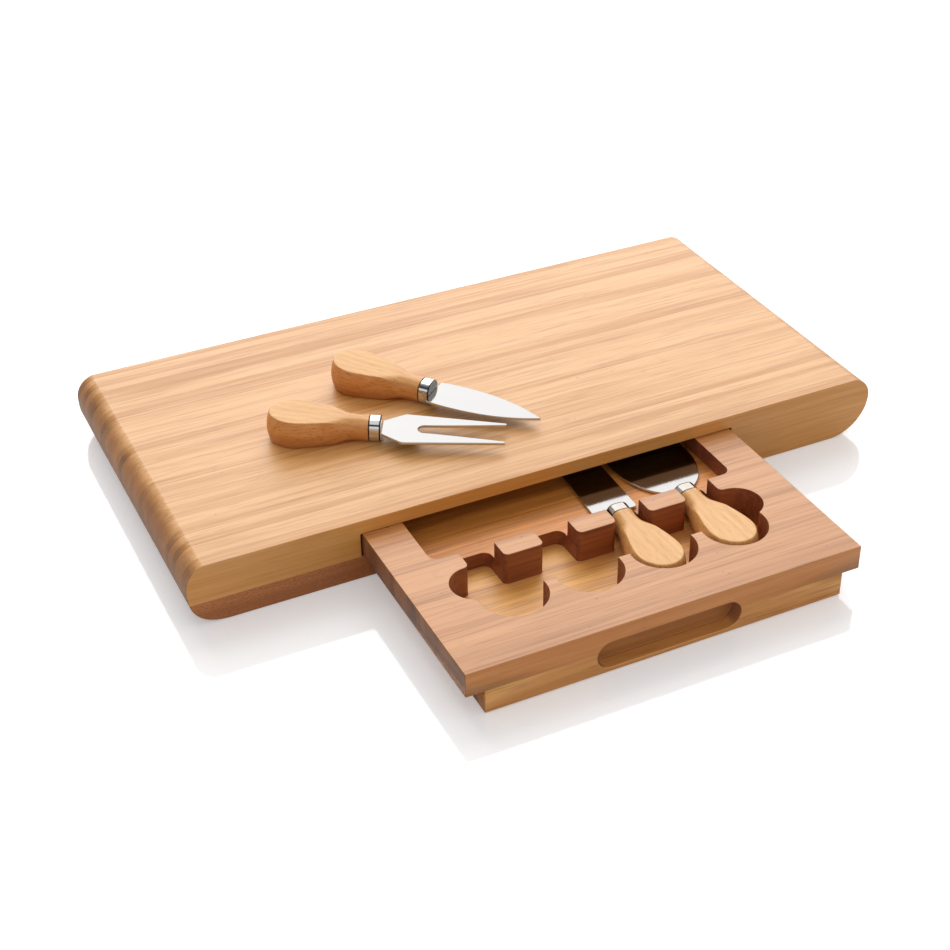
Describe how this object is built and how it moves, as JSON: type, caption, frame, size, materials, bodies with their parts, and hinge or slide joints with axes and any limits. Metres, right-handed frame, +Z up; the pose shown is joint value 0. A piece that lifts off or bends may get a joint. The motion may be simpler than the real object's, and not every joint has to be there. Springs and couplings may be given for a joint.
{
  "type": "cheese board set",
  "caption": "Rounded-end bamboo serving board with a sliding drawer below it that stores short wooden-handled cheese knives and a fork in milled pockets.",
  "frame": {"origin": "on the table, below the middle of the set's box as it stands with the drawer drawn out", "axes": "+X along the board's long side, +Y to the board's back so that the drawer opens towards -Y, +Z up"},
  "size_m": [0.4, 0.3192, 0.0521],
  "materials": {
    "bamboo_light": "satin oiled vertical-grain bamboo",
    "bamboo_warm": "satin oiled caramel bamboo",
    "bamboo_dark": "satin oiled carbonised bamboo",
    "beech": "smooth oiled turned wood",
    "steel": "polished",
    "chrome": "mirror"
  },
  "bodies": {
    "board": {"top_board": "bamboo_light", "lower_left_rail": "bamboo_dark", "lower_right_rail": "bamboo_light", "lower_back_rail": "bamboo_dark"},
    "drawer": {"drawer_tray": "bamboo_warm", "drawer_base": "bamboo_light"},
    "flat_knife": {"flat_knife_handle": "beech", "flat_knife_ferrule": "chrome", "flat_knife_blade": "steel"},
    "spade_knife": {"spade_knife_handle": "beech", "spade_knife_ferrule": "chrome", "spade_knife_blade": "steel"},
    "cheese_fork": {"cheese_fork_handle": "beech", "cheese_fork_ferrule": "chrome", "cheese_fork_tines": "steel"},
    "pointed_knife": {"pointed_knife_handle": "beech", "pointed_knife_ferrule": "chrome", "pointed_knife_blade": "steel"}
  },
  "joints": [
    {"name": "drawer_slide", "type": "slide", "parent": "board", "child": "drawer", "axis": [0, -1, 0], "range_m": [-0.1193, 0.056]},
    {"name": "flat_knife_tip_up", "type": "hinge", "parent": "drawer", "child": "flat_knife", "pos_m": [0.02382, -0.00453, 0.0174], "axis": [-0.9988, 0.0489, 0], "range_deg": [0, 10]},
    {"name": "spade_knife_tip_up", "type": "hinge", "parent": "drawer", "child": "spade_knife", "pos_m": [0.0604, -0.00445, 0.0174], "axis": [-1, 0, 0], "range_deg": [0, 10]},
    {"name": "cheese_fork_lift", "type": "slide", "parent": "board", "child": "cheese_fork", "axis": [0, 0, 1], "range_m": [0, 0.06]},
    {"name": "pointed_knife_lift", "type": "slide", "parent": "board", "child": "pointed_knife", "axis": [0, 0, 1], "range_m": [0, 0.06]}
  ]
}
